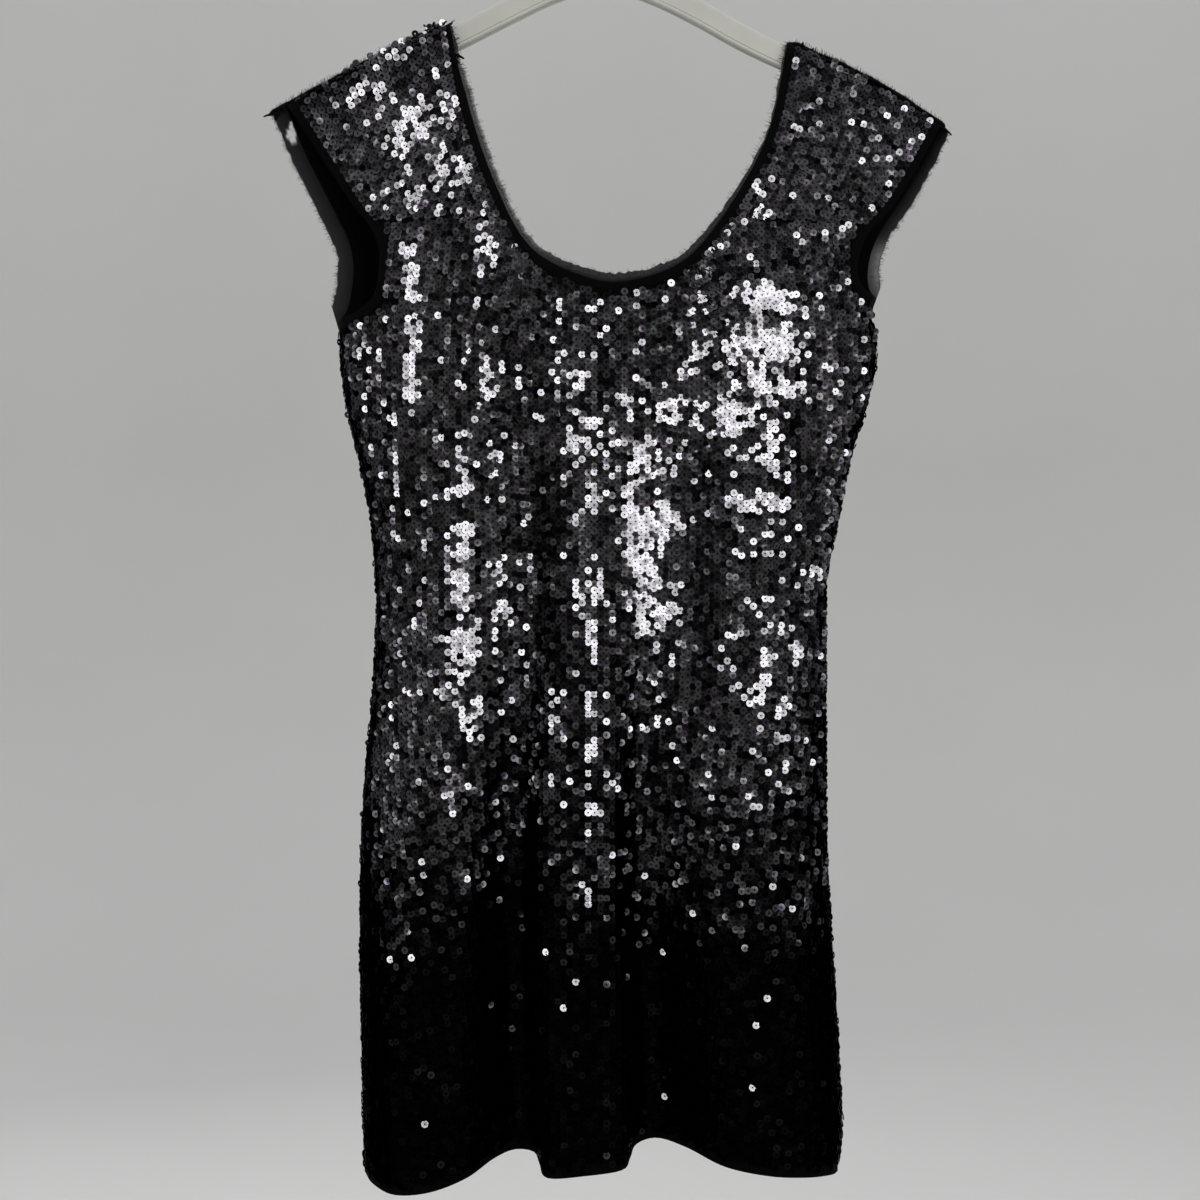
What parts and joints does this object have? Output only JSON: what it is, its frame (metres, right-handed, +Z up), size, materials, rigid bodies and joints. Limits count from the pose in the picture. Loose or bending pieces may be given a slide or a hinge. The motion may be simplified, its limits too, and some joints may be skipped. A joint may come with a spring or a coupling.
{
  "type": "sequin mini dress on a hanger",
  "caption": "Short cap-sleeved tube dress of black knit covered in sequins, with a deep scoop neck and raw-edged armholes, hanging from a moulded plastic hanger.",
  "frame": {"origin": "the underside of the hanger's hook at its crown, where a rail carries it", "axes": "+Z up, along the dress from hem to hook; the dress's front faces -Y; +X to the right seen from the front"},
  "size_m": [0.4734, 0.0995, 0.923],
  "materials": {
    "sequined_knit": "black stretch knit sewn all over with glossy black sequins",
    "black_binding": "matt black knit binding",
    "raw_gauze": "thin see-through black gauze with a raw, frayed edge",
    "hanger_plastic": "warm white moulded plastic with a soft shine",
    "sequin_film": "round black plastic film sequins, mirror-bright when they face the light"
  },
  "bodies": {
    "root": {"front_panel": "sequined_knit", "back_panel": "sequined_knit", "neck_binding_front": "black_binding", "neck_binding_back": "black_binding", "neck_raw_edge": "raw_gauze", "armhole_left_binding_front": "black_binding", "armhole_left_binding_back": "black_binding", "armhole_left_raw_edge": "raw_gauze", "armhole_right_binding_front": "black_binding", "armhole_right_binding_back": "black_binding", "armhole_right_raw_edge": "raw_gauze", "hem_band_front": "black_binding", "hem_band_back": "black_binding", "hanger": "hanger_plastic"}
  },
  "joints": []
}
